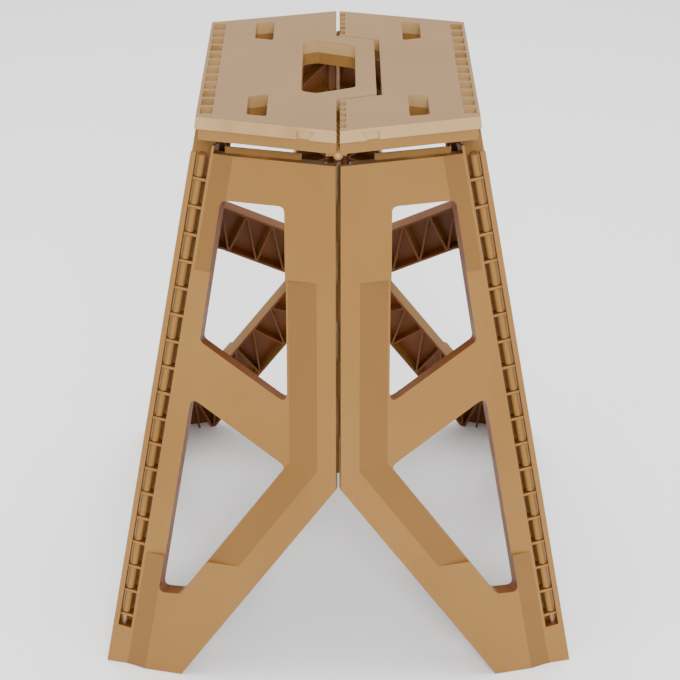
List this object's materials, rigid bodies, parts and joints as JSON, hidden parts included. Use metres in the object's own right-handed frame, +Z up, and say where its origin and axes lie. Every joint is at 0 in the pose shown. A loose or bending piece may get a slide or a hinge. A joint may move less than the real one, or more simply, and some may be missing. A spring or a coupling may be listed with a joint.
{
  "type": "folding step stool",
  "caption": "Folding plastic step stool: split hexagonal seat with a hand hole, on hinged panels that splay out as legs.",
  "frame": {"origin": "on the floor under the centre of the seat", "axes": "+Z up; -Y towards the front fold; +X towards the seat half without the hand hole"},
  "size_m": [0.3806, 0.3856, 0.45],
  "materials": {
    "moulded_plastic": "satin moulded plastic, matt on the seat's top",
    "hinge_pin": "plain drawn wire"
  },
  "bodies": {
    "side_left": {"side_left": "moulded_plastic"},
    "seat_left": {"seat_left": "moulded_plastic", "pin_side_left": "hinge_pin"},
    "seat_right": {"seat_right": "moulded_plastic", "pin_side_right": "hinge_pin", "pin_seat_front": "hinge_pin", "pin_seat_rear": "hinge_pin"},
    "side_right": {"side_right": "moulded_plastic"},
    "front_left": {"front_left": "moulded_plastic", "pin_corner_fl": "hinge_pin"},
    "front_right": {"front_right": "moulded_plastic", "pin_corner_fr": "hinge_pin", "pin_fold_front": "hinge_pin"},
    "rear_left": {"rear_left": "moulded_plastic", "pin_corner_rl": "hinge_pin"},
    "rear_right": {"rear_right": "moulded_plastic", "pin_corner_rr": "hinge_pin", "pin_fold_rear": "hinge_pin"}
  },
  "joints": [
    {"name": "side_hinge_left", "type": "hinge", "parent": "side_left", "child": "seat_left", "pos_m": [-0.097, 0, 0.439], "axis": [0, -1, 0], "range_deg": [0, 79.47]},
    {"name": "seat_fold", "type": "hinge", "parent": "seat_left", "child": "seat_right", "pos_m": [0, 0, 0.429], "axis": [0, 1, 0], "range_deg": [0, 180]},
    {"name": "side_hinge_right", "type": "hinge", "parent": "seat_right", "child": "side_right", "pos_m": [0.097, 0, 0.439], "axis": [0, -1, 0], "range_deg": [0, 79.47]},
    {"name": "corner_hinge_fl", "type": "hinge", "parent": "side_left", "child": "front_left", "pos_m": [-0.1813, -0.17079, 0], "axis": [-0.185, -0.1927, -0.9636], "range_deg": [0, 73.4]},
    {"name": "corner_hinge_rl", "type": "hinge", "parent": "side_left", "child": "rear_left", "pos_m": [-0.1813, 0.17079, 0], "axis": [0.185, -0.1927, 0.9636], "range_deg": [0, 73.4]},
    {"name": "corner_hinge_fr", "type": "hinge", "parent": "side_right", "child": "front_right", "pos_m": [0.1813, -0.17079, 0], "axis": [-0.185, 0.1927, 0.9636], "range_deg": [0, 73.4]},
    {"name": "corner_hinge_rr", "type": "hinge", "parent": "side_right", "child": "rear_right", "pos_m": [0.1813, 0.17079, 0], "axis": [0.185, 0.1927, -0.9636], "range_deg": [0, 73.4]}
  ],
  "couplings": [
    {"joint": "side_hinge_left", "follows": "seat_fold", "ratio": 0.4415},
    {"joint": "side_hinge_right", "follows": "seat_fold", "ratio": 0.4415},
    {"joint": "corner_hinge_fl", "follows": "seat_fold", "ratio": 0.40777},
    {"joint": "corner_hinge_rl", "follows": "seat_fold", "ratio": 0.40777},
    {"joint": "corner_hinge_fr", "follows": "seat_fold", "ratio": 0.40777},
    {"joint": "corner_hinge_rr", "follows": "seat_fold", "ratio": 0.40777}
  ]
}
